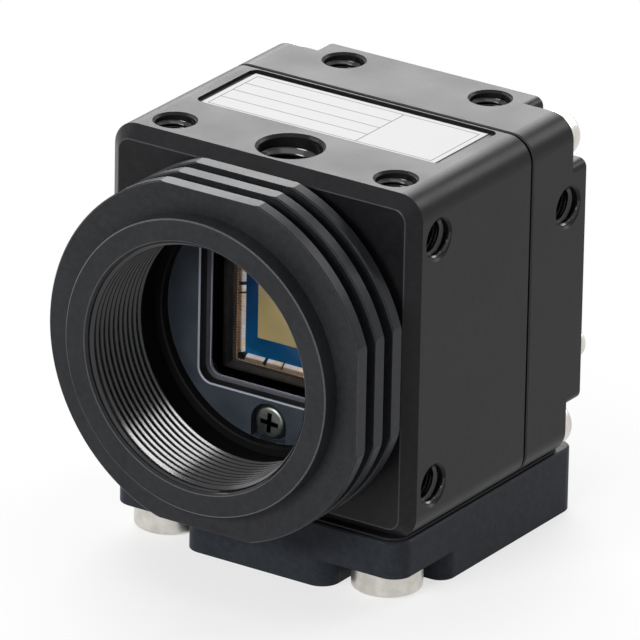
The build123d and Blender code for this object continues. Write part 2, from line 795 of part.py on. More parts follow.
# Mounting base: a slab with ears over the front screws, and a deep foot notched round every screw
with BuildPart() as mounting_base:
    with BuildSketch(Plane.XY.offset(base_top)):
        with Locations((0, base_middle_y)):
            RectangleRounded(base_width, base_length, base_corner_radius)
    extrude(amount=-ear_thickness)
    with BuildSketch(Plane.XY.offset(ear_bottom)) as foot:
        with Locations((0, base_rear_y)):
            Rectangle(base_width, base_rear_y - ear_back_y, align=(Align.CENTER, Align.MAX))
            Rectangle(2 * ear_inner_x, base_length, align=(Align.CENTER, Align.MAX))
        fillet(foot.vertices().group_by(Axis.Y)[-1], base_corner_radius)
        fillet(foot.vertices().group_by(Axis.Y)[1].sort_by(Axis.X)[1:3], ear_inner_radius)
        ear_corners = foot.vertices().group_by(Axis.Y)[2].sort_by(Axis.X)
        fillet([ear_corners[0], ear_corners[-1]], foot_corner_radius)
        fillet(foot.vertices().group_by(Axis.Y)[0], nose_corner_radius)
        with Locations(*rear_screw_places):
            Circle(base_pocket_radius, mode=Mode.SUBTRACT)
            Rectangle(
                2 * base_pocket_radius,
                base_rear_y - rear_hole_y,
                align=(Align.CENTER, Align.MIN),
                mode=Mode.SUBTRACT,
            )
    extrude(amount=-foot_height)
    chamfer(mounting_base.faces().sort_by(Axis.Z)[-1].edges(), base_edge)
    with BuildSketch(Plane.XY.offset(base_top)):
        with Locations(*base_screw_places):
            Circle(hole_radius + base_hole_clearance)
    extrude(amount=-ear_thickness, mode=Mode.SUBTRACT)
    with Locations(under_base(0, base_tripod_y)):
        CounterSinkHole(tripod_radius, tripod_radius + tripod_chamfer, base_tripod_depth, 90)
    with Locations(*[under_base(x, y) for x, y in base_fixing_places]):
        CounterSinkHole(hole_radius, hole_radius + hole_chamfer, base_fixing_depth, 90)
finish(mounting_base, "mounting_base")

# Four low-head screws that hold the base, with their threaded ends drawn at the core radius
with BuildPart() as base_screws:
    with BuildSketch(Plane.XY.offset(ear_bottom)):
        with Locations(*base_screw_places):
            Circle(base_screw_head_radius)
    extrude(amount=-base_screw_head_height)
    fillet(base_screws.edges().group_by(Axis.Z)[0], base_screw_head_edge)
    with BuildSketch(Plane.XY.offset(ear_bottom - base_screw_head_height)):
        with Locations(*base_screw_places):
            RegularPolygon(base_screw_socket, 6, major_radius=False)
    extrude(amount=base_screw_socket_depth, mode=Mode.SUBTRACT)
    with BuildSketch(Plane.XY.offset(ear_bottom)):
        with Locations(*base_screw_places):
            Circle(hole_radius)
    extrude(amount=ear_thickness + sheet_thickness)
    with BuildSketch(Plane.XY.offset(-body_top)):
        with Locations(*base_screw_places):
            Circle(base_screw_core_radius)
    extrude(amount=base_screw_engagement)
finish(base_screws, "base_screws")
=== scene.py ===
# %% [markdown]
# # A small industrial camera, dressed for its picture
# The CAD part gives every housing, screw and board its true shape and size.
# This script adds what a designer would leave out of the solids, such as thread ridges, screw recesses
# and bond wires, and gives every surface the finish that the real product has.

import json
import math

import bpy
import numpy as np
from mathutils import Matrix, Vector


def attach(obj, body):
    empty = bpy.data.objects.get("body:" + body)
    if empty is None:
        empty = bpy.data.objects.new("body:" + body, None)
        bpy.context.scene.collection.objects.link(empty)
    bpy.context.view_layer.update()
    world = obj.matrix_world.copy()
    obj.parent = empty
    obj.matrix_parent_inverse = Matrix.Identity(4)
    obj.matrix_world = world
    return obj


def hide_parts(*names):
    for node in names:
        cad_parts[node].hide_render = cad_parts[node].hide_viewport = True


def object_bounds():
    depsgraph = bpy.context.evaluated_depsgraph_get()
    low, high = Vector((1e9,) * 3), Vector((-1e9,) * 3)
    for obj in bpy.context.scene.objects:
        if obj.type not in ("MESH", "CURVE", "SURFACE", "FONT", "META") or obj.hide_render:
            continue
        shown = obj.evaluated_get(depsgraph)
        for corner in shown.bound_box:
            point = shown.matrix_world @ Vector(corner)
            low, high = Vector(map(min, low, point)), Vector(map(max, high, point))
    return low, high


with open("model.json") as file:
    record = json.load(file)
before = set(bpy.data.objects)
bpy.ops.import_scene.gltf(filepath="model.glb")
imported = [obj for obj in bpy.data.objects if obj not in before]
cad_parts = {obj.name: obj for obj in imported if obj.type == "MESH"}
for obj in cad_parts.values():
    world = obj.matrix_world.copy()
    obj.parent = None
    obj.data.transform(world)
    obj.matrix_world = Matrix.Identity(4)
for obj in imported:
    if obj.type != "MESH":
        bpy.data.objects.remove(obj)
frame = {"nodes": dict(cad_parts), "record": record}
cad_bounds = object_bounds()
nodes = frame["nodes"]
mm = 0.001
print("nodes:", len(nodes), "box in mm:", [[round(v / mm, 2) for v in corner] for corner in cad_bounds])

# %% [markdown]
# New pieces are surfaces computed as whole arrays of points, in mm, and joined into faces row by row.
# A thread or screw is drawn round its own axis first, and is then placed where the CAD has its hole or seat.
# Modelling them by hand would be slower, and a formula keeps each ridge and screw exactly alike.

# %% Build meshes from arrays
def grid_quads(rows, columns, closed):
    """Faces of a grid of points stored row by row. Each joins a point to the next column and the next row,
    and in a closed grid the last column meets the first."""
    row = np.arange(rows - 1)[:, None]
    column = np.arange(columns if closed else columns - 1)[None, :]
    after = (column + 1) % columns
    low, high = row * columns, (row + 1) * columns
    return np.stack([low + column, low + after, high + after, high + column], -1).reshape(-1, 4)


def placed(points, origin, axis, side):
    """Turns local points, with z along the axis and x along the side, and moves them to the origin."""
    axis, side = np.array(axis, float), np.array(side, float)
    basis = np.stack([side, np.cross(axis, side), axis])
    return points @ basis + np.array(origin, float)


def joined(shapes):
    """One shape out of several, each a set of points with its quads and its triangles."""
    starts = np.cumsum([0] + [len(points) for points, quads, triangles in shapes[:-1]])
    points = np.concatenate([shape[0] for shape in shapes])
    quads = np.concatenate([shape[1] + start for shape, start in zip(shapes, starts)])
    triangles = np.concatenate([shape[2] + start for shape, start in zip(shapes, starts)])
    return points, quads, triangles


def add_piece(name, shape, sharp_angle=35):
    """Makes a mesh object from a shape in mm, smooth but for edges sharper than the angle."""
    points, quads, triangles = shape
    mesh = bpy.data.meshes.new(name)
    mesh.from_pydata((points * mm).tolist(), [], quads.tolist() + triangles.tolist())
    mesh.validate()
    mesh.shade_smooth()
    mesh.set_sharp_from_angle(angle=math.radians(sharp_angle))
    piece = bpy.data.objects.new(name, mesh)
    bpy.context.scene.collection.objects.link(piece)
    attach(piece, "root")
    print(name, "points", len(points), "faces", len(quads) + len(triangles))
    return piece


no_triangles = np.zeros((0, 3), np.int64)

# %% [markdown]
# A screw thread is one ridge that winds round a bore. A thread is drawn here as a ribbon along the helix,
# with a flat root and crest and small roundings between, where a real thread shows its thin bright lines.
# It could be cut into the solids, but thousands of curved faces would help nobody who reuses the part.

# %% Thread ridges
ridge_along = np.array([0.0, 0.14, 0.20, 0.46, 0.52, 0.62, 0.68, 0.94, 1.0])
ridge_height = np.array([0.0, 0.0, 0.06, 0.94, 1.0, 1.0, 0.94, 0.06, 0.0])
print("ridge profile of", len(ridge_along), "points")


def thread(root, crest, pitch, start, end, mouth, segments):
    """Ribbon along a helix: the radius follows the ridge once per pitch while the height climbs one pitch a
    turn. The ridge grows over the first half turn and shrinks over the last. Up to a depth of mouth, the
    root widens as the hole's chamfer does. Each turn has the same points, so that it meets the next one
    without a gap."""
    turns = (end - start) / pitch - 1
    turn = np.arange(int(turns * segments) + 1)[:, None] / segments
    z = start + pitch * (turn + ridge_along[None, :])
    fade = np.clip(2 * turn, 0, 1) * np.clip(2 * (turns - turn), 0, 1)
    radius = root + np.clip(mouth - z, 0, None) + (crest - root) * ridge_height[None, :] * fade
    angle = 2 * np.pi * turn
    points = np.stack([radius * np.cos(angle), radius * np.sin(angle), z], -1).reshape(-1, 3)
    return points, grid_quads(len(turn), len(ridge_along), closed=False), no_triangles


# %% [markdown]
# The lens thread is a one-inch thread of 32 turns to the inch, cut in the bore of the mount.
# Its crests stand 0.4 mm into the bore, and its first ridge rises out of the entry chamfer.

# %% Lens thread
thread_sharp_angle = 20
lens_root, lens_crest, lens_pitch = 12.695, 12.29, 0.794
lens_thread_start, lens_thread_end = 0.02, 9.7
lens_chamfer = 0.3
points, quads, triangles = thread(
    lens_root, lens_crest, lens_pitch, lens_thread_start, lens_thread_end, lens_chamfer, segments=192
)
lens_thread = add_piece(
    "lens_thread", (placed(points, (0, 0, 0), (0, 1, 0), (1, 0, 0)), quads, triangles),
    thread_sharp_angle,
)

# %% [markdown]
# The bracket holes are tapped M4, the tripod holes have the usual quarter-inch thread, and the jack
# posts take a small machine screw. All of their ridges wind from the hole's mouth to its floor.
# A thread is given by its root, its crest and its pitch.

# %% Kinds of thread
m4 = (1.995, 1.64, 0.7)
quarter_inch = (3.17, 2.6, 1.27)
small = (1.095, 0.93, 0.45)
m4_chamfer = 0.25
tripod_chamfer = 0.3
hole_thread_start = 0.05
up, down, inward, forward = (0, 0, 1), (0, 0, -1), (-1, 0, 0), (0, -1, 0)
side, top = (value / mm for value in (cad_bounds[1][0], cad_bounds[1][2]))
underside, post_end = (value / mm for value in (cad_bounds[0][2], cad_bounds[1][1]))


def tapped(name, holes):
    """One piece with the ridges of several holes: thread sizes, place, direction, depth and chamfer."""
    shapes = []
    for (root, crest, pitch), origin, axis, depth, chamfer in holes:
        points, quads, triangles = thread(root, crest, pitch, hole_thread_start, depth, chamfer, segments=48)
        across = (0, 1, 0) if axis[1] == 0 else (1, 0, 0)
        shapes.append((placed(points, origin, axis, across), quads, triangles))
    return add_piece(name, joined(shapes), thread_sharp_angle)


# %% [markdown]
# The housing and the cover have holes in their top and right side, the base has them underneath, and the
# two posts beside the connector have one each. The places are those of the CAD's bores.

# %% Threads in the holes
front_row_y, front_row_reach = 15.15, 12.9
rear_row_y, rear_row_reach = 38.4, 8.62
top_depth, side_depth = 4.0, 3.0
side_rear_z = 8.66
tripod_y, tripod_depth = 16.1, 5.0
hole_threads = tapped("hole_threads", [
    *((m4, (x, front_row_y, top), down, top_depth, m4_chamfer) for x in (-front_row_reach, front_row_reach)),
    *((m4, (x, rear_row_y, top), down, top_depth, m4_chamfer) for x in (-rear_row_reach, rear_row_reach)),
    (quarter_inch, (0, tripod_y, top), down, tripod_depth, tripod_chamfer),
    (m4, (side, front_row_y, front_row_reach), inward, side_depth, m4_chamfer),
    (m4, (side, front_row_y, -front_row_reach), inward, side_depth, m4_chamfer),
    (m4, (side, rear_row_y, side_rear_z), inward, side_depth, m4_chamfer),
])

base_tripod_y, base_tripod_depth = 22.0, 5.5
fixing_rows_y, fixing_reach, fixing_depth = (14.0, 30.0), 6.0, 5.0
base_threads = tapped("base_threads", [
    (quarter_inch, (0, base_tripod_y, underside), up, base_tripod_depth, tripod_chamfer),
    *(
        (m4, (x, y, underside), up, fixing_depth, m4_chamfer)
        for y in fixing_rows_y for x in (-fixing_reach, fixing_reach)
    ),
])

jack_reach, jack_z = 15.85, -7.55
jack_depth = 3.0
jack_threads = tapped("jack_threads", [
    (small, (x, post_end, jack_z), forward, jack_depth, 0.0) for x in (-jack_reach, jack_reach)
])

# %% [markdown]
# The screws are pan heads with a cross recess, pressed by a punch with four tapering wings.
# A round grid would give the recess ragged walls. So the crown's inner row is the outline of the cross
# itself, and the rows carry it step by step out to the round rim.

# %% Shape of a cross-recessed screw
cross_edge_steps = 6
crown_drop = 0.1
floor_narrowing, floor_shortening = 0.36, 0.65
pit_tip = 0.1


def cross_outline(half_width, length):
    """Outline of a plus sign, clockwise: twelve straight edges, each in a few equal steps."""
    w, reach = half_width, length
    corners = np.array([
        (reach, w), (reach, -w), (w, -w), (w, -reach), (-w, -reach), (-w, -w),
        (-reach, -w), (-reach, w), (-w, w), (-w, reach), (w, reach), (w, w),
    ])
    next_corners = np.roll(corners, -1, axis=0)
    share = np.arange(cross_edge_steps)[None, :, None] / cross_edge_steps
    return (corners[:, None] * (1 - share) + next_corners[:, None] * share).reshape(-1, 2)


def pan_screw(head_radius, head_height, dome, shank_radius, shank_length, wing, wing_length, depth):
    """Rows of points from the pit's floor to the shank's end. The walls join two cross outlines, the crown
    blends the outline into a circle while its height falls with the square of the radius, and the rim
    follows a quarter circle."""
    mouth = cross_outline(wing / 2, wing_length)
    around = mouth / np.linalg.norm(mouth, axis=1)[:, None]
    edge = head_radius - dome
    count = len(mouth)
    share = np.linspace(0, 1, 8)[:, None, None]
    crown = mouth * (1 - share) + around * edge * share
    crown_z = head_height - crown_drop * (np.linalg.norm(crown, axis=2) / head_radius) ** 2
    bend = np.linspace(0, np.pi / 2, 7)[1:]
    radii = np.concatenate([edge + dome * np.sin(bend), [head_radius, shank_radius, shank_radius]])
    heights = np.concatenate([crown_z[-1, 0] - dome * (1 - np.cos(bend)), [0, 0, -shank_length]])
    turned_z = np.broadcast_to(heights[:, None, None], (len(radii), count, 1))
    turned = np.concatenate([around * radii[:, None, None], turned_z], -1)
    floor_z = head_height - depth
    floor_outline = cross_outline(floor_narrowing * wing, floor_shortening * wing_length)
    floor = np.column_stack([floor_outline, np.full(count, floor_z)])
    rows = np.concatenate([floor[None], np.dstack([crown, crown_z]), turned])
    poles = [[0, 0, floor_z - pit_tip * depth], [0, 0, -shank_length]]
    points = np.concatenate([rows.reshape(-1, 3), poles])
    column = np.arange(count)
    after = (column + 1) % count
    start, last = np.full(count, len(points) - 2), (len(rows) - 1) * count
    triangles = np.concatenate(
        [np.stack([start, after, column], -1), np.stack([last + column, last + after, start + 1], -1)]
    )
    return points, grid_quads(len(rows), count, closed=True), triangles


# %% [markdown]
# Two screws hold the plate in the lens bay, and four hold the rear cover. They stand on the seats that the
# CAD gives its plain screws, and replace those. A real driver leaves each cross at an angle of its own.

# %% Screws on their seats
def add_screws(name, replaced, places, y, facing, turns, **sizes):
    """One screw at each place, square to the lens axis and turned by its own angle."""
    points, quads, triangles = pan_screw(**sizes)
    shapes = []
    for (x, z), turn in zip(places, turns):
        spin = math.radians(turn)
        across = (math.cos(spin), 0, math.sin(spin))
        shapes.append((placed(points, (x, y, z), (0, facing, 0), across), quads, triangles))
    piece = add_piece(name, joined(shapes))
    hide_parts(replaced)
    return piece


plate_seat_y, plate_screw_z = 14.2, 10.2
plate_pan_screws = add_screws(
    "plate_pan_screws", "plate_screws", [(0, -plate_screw_z), (0, plate_screw_z)], plate_seat_y, -1, [-4, 75],
    head_radius=1.7, head_height=1.0, dome=0.35, shank_radius=0.9, shank_length=5.8,
    wing=0.5, wing_length=1.05, depth=1.3,
)
cover_seat_y, corner = 39.05, 15.4
cover_pan_screws = add_screws(
    "cover_pan_screws", "rear_cover_screws",
    [(x, z) for x in (-corner, corner) for z in (-corner, corner)], cover_seat_y, 1, [15, 60, 35, 80],
    head_radius=2.45, head_height=1.9, dome=0.6, shank_radius=1.45, shank_length=13.5,
    wing=0.6, wing_length=1.45, depth=1.8,
)

# %% [markdown]
# Fine wires join the gold fingers of the ceramic package to the edge of the silicon die.
# Each one leaves its finger, arches over and lands on the die. A curve with a bevel would do for one wire,
# but two hundred are lighter as a single mesh, worked out all at once.

# %% Shape of the bond wires
def arched_wires(feet, landings, finger_y, die_y, rise, radius, steps=7, sides=5):
    """Tubes along arches: the middle line runs evenly from foot to landing, its depth goes from finger to
    die, and half a sine lifts it towards the glass. The ring of points stays square to the line."""
    t = np.linspace(0, 1, steps)[None, :]
    run = landings - feet
    line = np.empty((len(feet), steps, 3))
    line[..., 0] = feet[:, None, 0] + run[:, None, 0] * t
    line[..., 2] = feet[:, None, 1] + run[:, None, 1] * t
    line[..., 1] = finger_y + (die_y - finger_y) * t - rise * np.sin(np.pi * t)
    tangent = np.gradient(line, axis=1)
    tangent /= np.linalg.norm(tangent, axis=2)[..., None]
    level = np.zeros_like(line)
    level[..., 0], level[..., 2] = -run[:, None, 1], run[:, None, 0]
    level /= np.linalg.norm(level, axis=2)[..., None]
    lift = np.cross(tangent, level)
    turn = 2 * np.pi * np.arange(sides) / sides
    ring = (
        line[:, :, None]
        + radius * np.cos(turn)[:, None] * level[:, :, None]
        + radius * np.sin(turn)[:, None] * lift[:, :, None]
    )
    quads = grid_quads(steps, sides, closed=True)
    fan = np.array([(0, k + 1, k) for k in range(1, sides - 1)])
    caps = np.concatenate([fan, fan[:, ::-1] + (steps - 1) * sides])
    shift = np.arange(len(feet))[:, None, None] * steps * sides
    return ring.reshape(-1, 3), (quads + shift).reshape(-1, 4), (caps + shift).reshape(-1, 3)


# %% [markdown]
# The wires stand in a row along each side of the die. A few are left out where a real die has no pads.

# %% Bond wires
pocket_x, pocket_z, die_x, die_z = 6.3, 6.1, 5.8, 5.6
foot_outset, landing_inset, fan_in = 0.05, 0.1, 0.98
wire_pitch, row_reach = 0.18, 5.4
finger_top_y, die_top_y, wire_rise, wire_radius = 17.1, 17.56, 0.12, 0.08


def spots_without(*gaps):
    """Even places along a side of the die, without those within a half width of a gap's middle."""
    spots = np.arange(-row_reach, row_reach + 0.01, wire_pitch)
    return spots[np.all([np.abs(spots - middle) > half_width for middle, half_width in gaps], axis=0)]


column_spots = spots_without((1.9, 0.15), (0.9, 0.15))
row_spots = spots_without((-3.1, 0.15), (-1.1, 0.15), (2.4, 0.25))
feet, landings = [], []
for sign in (-1, 1):
    beside, above = np.full(len(column_spots), sign), np.full(len(row_spots), sign)
    feet.append(np.column_stack([beside * (pocket_x + foot_outset), column_spots]))
    landings.append(np.column_stack([beside * (die_x - landing_inset), column_spots * fan_in]))
    feet.append(np.column_stack([row_spots, above * (pocket_z + foot_outset)]))
    landings.append(np.column_stack([row_spots * fan_in, above * (die_z - landing_inset)]))
wires = arched_wires(
    np.concatenate(feet), np.concatenate(landings), finger_top_y, die_top_y, wire_rise, wire_radius
)
bond_wires = add_piece("bond_wires", wires)

# %% [markdown]
# A material is written as arithmetic on sockets, so that a formula in the script reads as it would on
# paper. Each operator adds one math node, and one method adds any other node.

# %% Shader arithmetic
class Value:
    """Output of a shader node that takes part in arithmetic."""

    def __init__(self, graph, socket):
        self.graph, self.socket = graph, socket

    def combine(self, operation, first, second):
        """Adds a math node for two values or numbers."""
        return self.graph.node("ShaderNodeMath", {"operation": operation}, {0: first, 1: second})

    def __add__(self, other):
        return self.combine("ADD", self, other)

    def __radd__(self, other):
        return self.combine("ADD", other, self)

    def __sub__(self, other):
        return self.combine("SUBTRACT", self, other)

    def __rsub__(self, other):
        return self.combine("SUBTRACT", other, self)

    def __mul__(self, other):
        return self.combine("MULTIPLY", self, other)

    def __rmul__(self, other):
        return self.combine("MULTIPLY", other, self)

    def __truediv__(self, other):
        return self.combine("DIVIDE", self, other)

    def __rtruediv__(self, other):
        return self.combine("DIVIDE", other, self)

    def __pow__(self, other):
        return self.combine("POWER", self, other)

    def __abs__(self):
        return self.graph.node("ShaderNodeMath", {"operation": "ABSOLUTE"}, {0: self})

    def __or__(self, other):
        return self.combine("MAXIMUM", self, other)

    def __and__(self, other):
        return self.combine("MINIMUM", self, other)


# %% [markdown]
# A material and the world each have a tree of nodes. One class builds any such tree, and the one for
# materials adds what finishes need most: coordinates in mm, noise of a real size, soft steps and lines.

# %% Node trees
class Nodes:
    """A node tree that is built by calls."""

    def __init__(self, tree):
        self.tree = tree

    def node(self, kind, settings=None, inputs=None, output=0):
        """Adds a node of any kind: its settings first, then values or links for its sockets."""
        made = self.tree.nodes.new(kind)
        for key, value in (settings or {}).items():
            setattr(made, key, value)
        for key, value in (inputs or {}).items():
            self.connect(made.inputs[key], value)
        return Value(self, made.outputs[output])

    def connect(self, socket, value):
        """Links a value to a socket, or writes a constant into it."""
        if isinstance(value, Value):
            self.tree.links.new(value.socket, socket)
        else:
            socket.default_value = value

    def backdrop_rays(self):
        """1 for a ray from the camera, off a gloss or through glass, and 0 for light that scatters."""
        path = self.node("ShaderNodeLightPath").socket.node
        names = ("Is Camera Ray", "Is Glossy Ray", "Is Transmission Ray")
        camera, glossy, through = (Value(self, path.outputs[name]) for name in names)
        return camera | glossy | through


class Graph(Nodes):
    """Node tree of one material, with its principled shader."""

    def __init__(self, name, **constants):
        self.material = bpy.data.materials.new(name)
        self.material.use_nodes = True
        super().__init__(self.material.node_tree)
        self.shader = self.tree.nodes["Principled BSDF"]
        self.set(**constants)
        print("material", name)

    def set(self, **inputs):
        """Sets shader sockets by name, with underscores for the spaces."""
        for key, value in inputs.items():
            self.connect(self.shader.inputs[key.replace("_", " ")], value)

    def place(self):
        """Object coordinates, which are metres in the part's frame."""
        return self.node("ShaderNodeTexCoord", output=3)

    def axes(self):
        """The three coordinates of the place, in mm."""
        split = self.node("ShaderNodeSeparateXYZ", inputs={0: self.scaled(self.place(), (1 / mm,) * 3)})
        return [Value(self, split.socket.node.outputs[index]) for index in range(3)]

    def scaled(self, vector, factors):
        return self.node("ShaderNodeVectorMath", {"operation": "MULTIPLY"}, {0: vector, 1: factors})

    def noise(self, size, detail=2.0, roughness=0.5, stretch=(1, 1, 1)):
        """Soft noise from 0 to 1 whose features are about as large as size, in mm."""
        where = self.scaled(self.place(), tuple(s / (size * mm) for s in stretch))
        shape = {"Vector": where, "Scale": 1.0, "Detail": detail, "Roughness": roughness}
        return self.node("ShaderNodeTexNoise", inputs=shape)

    def ramp(self, value, low, high, to_low=0.0, to_high=1.0):
        """Maps low..high smoothly onto to_low..to_high."""
        return self.node(
            "ShaderNodeMapRange",
            {"interpolation_type": "SMOOTHSTEP"},
            {"Value": value, "From Min": low, "From Max": high, "To Min": to_low, "To Max": to_high},
        )

    def line(self, value, at, width, soft=0.03):
        """1 on a line of this width where the value passes at, and 0 beside it."""
        return self.ramp(abs(value - at), width / 2, width / 2 + soft, 1.0, 0.0)

    def radius(self, u, v):
        """Distance from the axis on which both coordinates are 0, in mm."""
        return (u * u + v * v) ** 0.5

    def from_outline(self, u, v, half_u, half_v, corner):
        """How far a place is outside a rectangle with round corners, in mm. Inside it is less than 0, but
        no less than minus the corner's radius."""
        over_u, over_v = (abs(u) - (half_u - corner)) | 0.0, (abs(v) - (half_v - corner)) | 0.0
        return (over_u * over_u + over_v * over_v) ** 0.5 - corner

    def mix(self, mask, first, second):
        """Colour that goes from the first to the second as the mask rises."""
        sockets = {0: mask, 6: self.colour(first), 7: self.colour(second)}
        return self.node("ShaderNodeMix", {"data_type": "RGBA"}, sockets, output=2)

    def colour(self, value):
        return value if isinstance(value, Value) else (*value, 1.0)

    def bump(self, height, distance, strength=1.0):
        """Normal pushed by a height of 0 to 1 times a distance in mm."""
        sockets = {"Height": height, "Distance": distance * mm, "Strength": strength}
        return self.node("ShaderNodeBump", inputs=sockets)


materials = {}

# %% [markdown]
# The housing is aluminium, blasted with fine beads and anodised black. Blasting leaves an even grain of
# about a tenth of a millimetre. The dyed oxide layer is dark, and it turns paler at a low angle.
# Three sizes of noise give the grain, the soft mottle of the dye and the broad changes of gloss.
# Inside the lens bay the finish is dead black, so that no stray light reaches the sensor.

# %% Anodised aluminium
bay_radius, bay_floor_y = 13.02, 13.2
bay_black, edge_highlight_and_wear = (0.002, 0.002, 0.002), (0.12, 0.12, 0.13)


def anodised(name, dark, pale, rough, grain, index, edges=None):
    """Dyed oxide: noise blends two tones and varies the gloss, a mask sets off the bay, and an edge mask
    paints pale highlight lines, partly oxide worn thin there.
    """
    graph = Graph(name, IOR=index)
    fine, mottle, broad = graph.noise(0.11, 3.0, 0.6), graph.noise(0.7, 2.0), graph.noise(7.0, 2.0)
    colour = graph.mix(graph.ramp(fine * 0.5 + mottle * 0.3 + broad * 0.2, 0.35, 0.65), dark, pale)
    x, y, z = graph.axes()
    in_depth = graph.ramp(y, 0.35, 0.5) * graph.ramp(y, bay_floor_y, bay_floor_y + 0.2, 1.0, 0.0)
    bay = graph.ramp(graph.radius(x, z), bay_radius, bay_radius + 0.08, 1.0, 0.0) * in_depth
    colour = graph.mix(bay, colour, bay_black)
    if edges:
        # Pale lines along the edges: painted highlights, partly oxide worn thin there.
        colour = graph.mix(edges(graph) * graph.ramp(fine, 0.3, 0.6, 0.5, 1.0), colour, edge_highlight_and_wear)
    graph.set(
        Base_Color=colour,
        Roughness=graph.ramp(fine * 0.4 + broad * 0.6, 0.3, 0.7, rough - 0.05, rough + 0.05) + bay * 0.2,
        Normal=graph.bump(fine, grain),
    )
    return graph.material


# %% [markdown]
# Pale lines along sharp edges are painted highlights, for light caught by their small chamfers and roundings,
# and partly for oxide worn thin there. A mask of each part's own edges draws them, worked out from radius and
# depth, because it stays sharp where painted vertices would blur.

# %% Rubbed edges
body_half, body_corner, bevel_inset = 18.0, 2.6, 1.28
housing_front_y, cover_rear_y = 11.0, 41.6
seam_front_y, seam_rear_y = 31.45, 31.9
ring_edge_radius, mouth_radius = 15.14, 12.97
first_fin_y, fin_spacing = 2.0, 3.0
fin_rim_radius, fin_flat = 18.3, 17.5
base_top_z = -18.36


def mount_edges(graph):
    """The ring's edge and the thread's mouth are rings of a known radius in front of a known depth. The
    fins repeat at an even spacing, so a folded depth finds the front edge of each."""
    x, y, z = graph.axes()
    radius = graph.radius(x, z)
    in_front = graph.ramp(y, 0.12, 0.18, 1.0, 0.0)
    rings = (graph.line(radius, ring_edge_radius, 0.12) | graph.line(radius, mouth_radius, 0.06)) * in_front
    depth = y - first_fin_y
    to_front = depth.combine("PINGPONG", depth, fin_spacing / 2)
    on_flat = graph.ramp(abs(z), fin_flat, fin_flat + 0.05) | graph.ramp(x, fin_flat, fin_flat + 0.05)
    rim = graph.ramp(radius, fin_rim_radius, fin_rim_radius + 0.1) | on_flat
    return rings * 0.65 | graph.ramp(to_front, 0.03, 0.10, 0.15, 0.0) * rim


def outside_body(graph, x, z):
    """How far a place is outside the square body, seen along the lens axis."""
    return graph.from_outline(x, z, body_half, body_half, body_corner)


def housing_edges(graph):
    """The inner edge of the front bevel, and the thin chamfer at the seam."""
    x, y, z = graph.axes()
    outside = outside_body(graph, x, z)
    on_front = graph.ramp(y, housing_front_y + 0.12, housing_front_y + 0.2, 1.0, 0.0)
    panel_rim = graph.line(outside, -bevel_inset, 0.1) * on_front
    seam = graph.line(y, seam_front_y, 0.06) * graph.ramp(outside, -0.2, -0.1)
    return (panel_rim * 0.35) | (seam * 0.35)


def cover_edges(graph):
    """The thin chamfers at the seam and round the rear face."""
    x, y, z = graph.axes()
    at_ends = graph.line(y, seam_rear_y, 0.06) * 0.35 | graph.line(y, cover_rear_y, 0.06)
    return at_ends * graph.ramp(outside_body(graph, x, z), -0.2, -0.1)


def base_edges(graph):
    """The chamfer round the top of the base, where it stands clear of the housing."""
    y, z = graph.axes()[1:]
    behind = graph.ramp(y, cover_rear_y, cover_rear_y + 0.1)
    clear = behind | graph.ramp(y, housing_front_y, housing_front_y + 0.1, 1.0, 0.0)
    return graph.ramp(z, base_top_z - 0.06, base_top_z) * clear * 0.5


# %% [markdown]
# The housing and the cover share one black. The lens mount's black is a little paler, and the base has a
# bluish tone.

# %% Anodised finishes
black = ((0.006, 0.006, 0.007), (0.012, 0.012, 0.0135), 0.36, 0.004, 1.24)
ring_black = ((0.012, 0.0125, 0.014), (0.022, 0.023, 0.026), 0.36, 0.004, 1.23)
materials["black_anodised"] = anodised("black_anodised", *black)
mount_finish = anodised("mount_anodised", *ring_black, mount_edges)
housing_finish = anodised("housing_anodised", *black, housing_edges)
cover_finish = anodised("cover_anodised", *black, cover_edges)
materials["base_anodised"] = anodised(
    "base_anodised", (0.016, 0.0185, 0.023), (0.028, 0.0315, 0.038), 0.40, 0.004, 1.14, base_edges
)

# %% [markdown]
# Threads are cut after the blasting, so their anodised flanks are smoother and catch brighter lines. The
# ridges are pieces of their own, so one more finish does it, and no mask has to find them.

# %% Cut threads
def cut_thread():
    """Anodised like the rest, but smoother and glossier."""
    graph = Graph("thread_anodised", IOR=1.5)
    fine = graph.noise(0.11, 3.0, 0.6)
    graph.set(
        Base_Color=graph.mix(fine, (0.004, 0.004, 0.005), (0.010, 0.010, 0.011)),
        Roughness=graph.ramp(fine, 0.3, 0.7, 0.14, 0.24),
        Normal=graph.bump(fine, 0.001),
    )
    return graph.material


thread_finish = cut_thread()

# %% [markdown]
# Screws are bright steel that was tumbled clean, so they carry a fine grain and small changes of gloss.
# The same function gives the plated shell, the brass spacers and the gold of the contacts. A mask can paint a
# pit dark, as painted shade.

# %% Bright metals
pit_shade_black = (0.012, 0.012, 0.012)


def bright(name, colour, deep, rough, grain=0.003, pit=None):
    """Bare or plated metal whose tone drifts between two colours."""
    graph = Graph(name, Metallic=1.0)
    fine, mottle = graph.noise(0.12, 3.0, 0.6), graph.noise(1.2, 2.0)
    tone = graph.mix(graph.ramp(mottle, 0.3, 0.7), deep, colour)
    # Painted shade: the pit mask darkens a recess.
    if pit:
        tone = graph.mix(pit(graph), tone, pit_shade_black)
    graph.set(
        Base_Color=tone,
        Roughness=graph.ramp(fine * 0.6 + mottle * 0.4, 0.3, 0.7, rough - 0.06, rough + 0.06),
        Normal=graph.bump(fine, grain),
    )
    return graph.material


materials["bright_steel"] = bright("bright_steel", (0.66, 0.64, 0.60), (0.56, 0.54, 0.50), 0.33)
materials["brass_fitting"] = bright("brass_fitting", (0.70, 0.52, 0.25), (0.58, 0.42, 0.20), 0.30)
materials["gold_plating"] = bright("gold_plating", (0.95, 0.80, 0.52), (0.85, 0.62, 0.30), 0.35)
materials["plated_shell"] = bright("plated_shell", (0.60, 0.59, 0.57), (0.50, 0.49, 0.47), 0.28)
